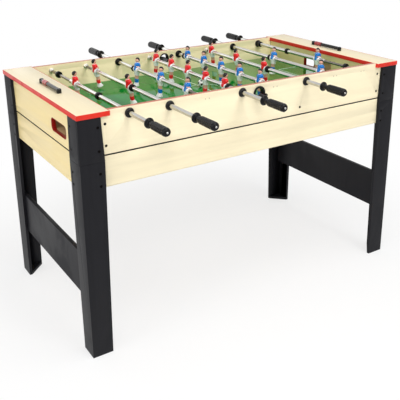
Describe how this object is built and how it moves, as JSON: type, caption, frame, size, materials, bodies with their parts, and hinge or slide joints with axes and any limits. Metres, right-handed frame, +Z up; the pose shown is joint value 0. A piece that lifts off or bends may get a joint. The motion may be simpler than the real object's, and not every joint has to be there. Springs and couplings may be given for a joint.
{
  "type": "foosball table",
  "caption": "Free-standing table football game with angle legs, wooden cabinet, green pitch and sliding, spinning rods that carry moulded players.",
  "frame": {"origin": "on the floor under the middle of the table, halfway between the outermost handle ends", "axes": "+X along the table towards the blue goal, +Y from the red team's handle side to the blue team's, +Z up"},
  "size_m": [1.4, 1.273, 0.8975],
  "materials": {
    "maple_laminate": "pale maple laminate, satin",
    "green_pitch": "printed green playing surface with white lines, satin",
    "red_edge_band": "red edge banding, satin",
    "charcoal_board": "charcoal laminated board, satin",
    "plain_wood": "bare softwood and board, matte",
    "black_plastic": "black moulded bushing plastic",
    "black_gloss_plastic": "black moulded plastic, glossy",
    "black_grip": "fluted black grip, satin",
    "black_rubber": "black rubber bumper",
    "silver_flange": "plain light metal",
    "chrome_rod": "chromed steel tube",
    "dark_screws": "dark plated screws",
    "red_plastic": "red moulded plastic",
    "white_ball": "white plastic ball with dark patches",
    "red_player": "moulded player painted with a red shirt and white shorts",
    "blue_player": "moulded player painted with a blue shirt and white shorts"
  },
  "bodies": {
    "table": {"front_wall": "maple_laminate", "back_wall": "maple_laminate", "front_apron": "maple_laminate", "back_apron": "maple_laminate", "left_end_panel": "maple_laminate", "right_end_panel": "maple_laminate", "end_aprons": "maple_laminate", "goal_walls": "maple_laminate", "playfield": "green_pitch", "left_top_board": "maple_laminate", "right_top_board": "maple_laminate", "red_edging": "red_edge_band", "opening_liners": "red_edge_band", "corner_covers": "charcoal_board", "left_legs": "charcoal_board", "right_legs": "charcoal_board", "cross_panels": "charcoal_board", "ball_trays": "plain_wood", "cabinet_battens": "plain_wood", "rod_bushings": "black_plastic", "rod_flanges": "silver_flange", "inner_rods": "chrome_rod", "serve_cups": "black_gloss_plastic", "scorer_rails": "black_gloss_plastic", "screws": "dark_screws"},
    "left_bead": {"left_scorer_bead": "red_plastic"},
    "right_bead": {"right_scorer_bead": "red_plastic"},
    "ball": {"ball": "white_ball"},
    "red_keeper_bumper": {"red_keeper_bumper": "black_rubber"},
    "red_keeper_rod": {"red_keeper_tube": "chrome_rod", "red_keeper_players": "red_player", "red_keeper_handle": "black_grip"},
    "red_defence_bumper": {"red_defence_bumper": "black_rubber"},
    "red_defence_rod": {"red_defence_tube": "chrome_rod", "red_defence_players": "red_player", "red_defence_handle": "black_grip"},
    "blue_attack_bumper": {"blue_attack_bumper": "black_rubber"},
    "blue_attack_rod": {"blue_attack_tube": "chrome_rod", "blue_attack_players": "blue_player", "blue_attack_handle": "black_grip"},
    "red_midfield_bumper": {"red_midfield_bumper": "black_rubber"},
    "red_midfield_rod": {"red_midfield_tube": "chrome_rod", "red_midfield_players": "red_player", "red_midfield_handle": "black_grip"},
    "blue_midfield_bumper": {"blue_midfield_bumper": "black_rubber"},
    "blue_midfield_rod": {"blue_midfield_tube": "chrome_rod", "blue_midfield_players": "blue_player", "blue_midfield_handle": "black_grip"},
    "red_attack_bumper": {"red_attack_bumper": "black_rubber"},
    "red_attack_rod": {"red_attack_tube": "chrome_rod", "red_attack_players": "red_player", "red_attack_handle": "black_grip"},
    "blue_defence_bumper": {"blue_defence_bumper": "black_rubber"},
    "blue_defence_rod": {"blue_defence_tube": "chrome_rod", "blue_defence_players": "blue_player", "blue_defence_handle": "black_grip"},
    "blue_keeper_bumper": {"blue_keeper_bumper": "black_rubber"},
    "blue_keeper_rod": {"blue_keeper_tube": "chrome_rod", "blue_keeper_players": "blue_player", "blue_keeper_handle": "black_grip"}
  },
  "joints": [
    {"name": "red_keeper_slide", "type": "slide", "parent": "table", "child": "red_keeper_bumper", "axis": [0, 1, 0], "range_m": [-0.19077, 0.11913]},
    {"name": "red_keeper_spin", "type": "hinge", "parent": "red_keeper_bumper", "child": "red_keeper_rod", "pos_m": [-0.5155, 0, 0.848], "axis": [0, 1, 0], "continuous": true},
    {"name": "red_defence_slide", "type": "slide", "parent": "table", "child": "red_defence_bumper", "axis": [0, 1, 0], "range_m": [-0.24551, 0.06499]},
    {"name": "red_defence_spin", "type": "hinge", "parent": "red_defence_bumper", "child": "red_defence_rod", "pos_m": [-0.36821, 0, 0.848], "axis": [0, 1, 0], "continuous": true},
    {"name": "blue_attack_slide", "type": "slide", "parent": "table", "child": "blue_attack_bumper", "axis": [0, -1, 0], "range_m": [-0.1377, 0.08099]},
    {"name": "blue_attack_spin", "type": "hinge", "parent": "blue_attack_bumper", "child": "blue_attack_rod", "pos_m": [-0.22093, 0, 0.848], "axis": [0, 1, 0], "continuous": true},
    {"name": "red_midfield_slide", "type": "slide", "parent": "table", "child": "red_midfield_bumper", "axis": [0, 1, 0], "range_m": [-0.0605, 0.0249]},
    {"name": "red_midfield_spin", "type": "hinge", "parent": "red_midfield_bumper", "child": "red_midfield_rod", "pos_m": [-0.07364, 0, 0.848], "axis": [0, 1, 0], "continuous": true},
    {"name": "blue_midfield_slide", "type": "slide", "parent": "table", "child": "blue_midfield_bumper", "axis": [0, -1, 0], "range_m": [-0.04404, 0.04136]},
    {"name": "blue_midfield_spin", "type": "hinge", "parent": "blue_midfield_bumper", "child": "blue_midfield_rod", "pos_m": [0.07364, 0, 0.848], "axis": [0, 1, 0], "continuous": true},
    {"name": "red_attack_slide", "type": "slide", "parent": "table", "child": "red_attack_bumper", "axis": [0, 1, 0], "range_m": [-0.20781, 0.01089]},
    {"name": "red_attack_spin", "type": "hinge", "parent": "red_attack_bumper", "child": "red_attack_rod", "pos_m": [0.22093, 0, 0.848], "axis": [0, 1, 0], "continuous": true},
    {"name": "blue_defence_slide", "type": "slide", "parent": "table", "child": "blue_defence_bumper", "axis": [0, -1, 0], "range_m": [-0.27646, 0.03404]},
    {"name": "blue_defence_spin", "type": "hinge", "parent": "blue_defence_bumper", "child": "blue_defence_rod", "pos_m": [0.36821, 0, 0.848], "axis": [0, 1, 0], "continuous": true},
    {"name": "blue_keeper_slide", "type": "slide", "parent": "table", "child": "blue_keeper_bumper", "axis": [0, -1, 0], "range_m": [-0.19282, 0.11708]},
    {"name": "blue_keeper_spin", "type": "hinge", "parent": "blue_keeper_bumper", "child": "blue_keeper_rod", "pos_m": [0.5155, 0, 0.848], "axis": [0, 1, 0], "continuous": true},
    {"name": "left_bead_slide", "type": "slide", "parent": "table", "child": "left_bead", "axis": [0, 1, 0], "range_m": [-0.09918, 0.01482]},
    {"name": "right_bead_slide", "type": "slide", "parent": "table", "child": "right_bead", "axis": [0, 1, 0], "range_m": [-0.1083, 0.0057]},
    {"name": "ball_roll", "type": "slide", "parent": "table", "child": "ball", "axis": [0, 1, 0], "range_m": [-0.3509, 0.2881]}
  ]
}
